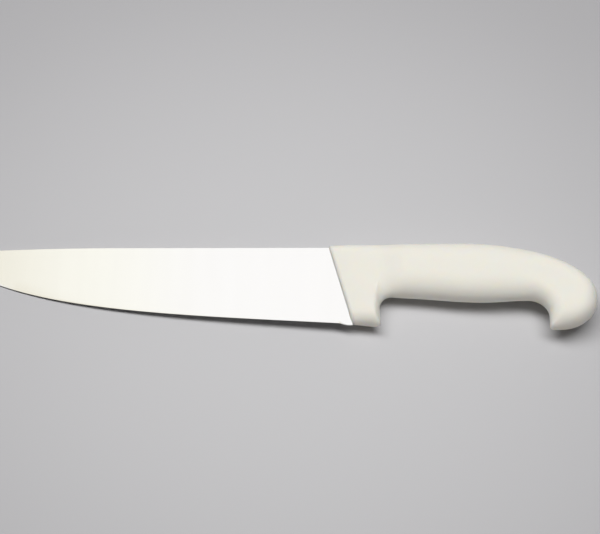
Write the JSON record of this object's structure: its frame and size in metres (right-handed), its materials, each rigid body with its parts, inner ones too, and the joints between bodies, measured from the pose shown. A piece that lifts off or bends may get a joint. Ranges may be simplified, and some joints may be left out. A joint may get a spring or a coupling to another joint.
{
  "type": "chef knife",
  "caption": "Chef's knife lying on its side: broad flat-ground steel blade with a curved edge, and a moulded pale handle with a finger guard and a hooked pommel.",
  "frame": {"origin": "middle of the knife's footprint, on the plane that the thickest part of the grip lies on", "axes": "+X from the blade's tip to the butt, +Y from the cutting edge to the spine, +Z through the thickness, up from the side the knife lies on"},
  "size_m": [0.3352, 0.0472, 0.02],
  "materials": {
    "steel": "fine ground, near mirror",
    "plastic": "moulded, satin"
  },
  "bodies": {
    "root": {"blade": "steel", "handle": "plastic"}
  },
  "joints": []
}
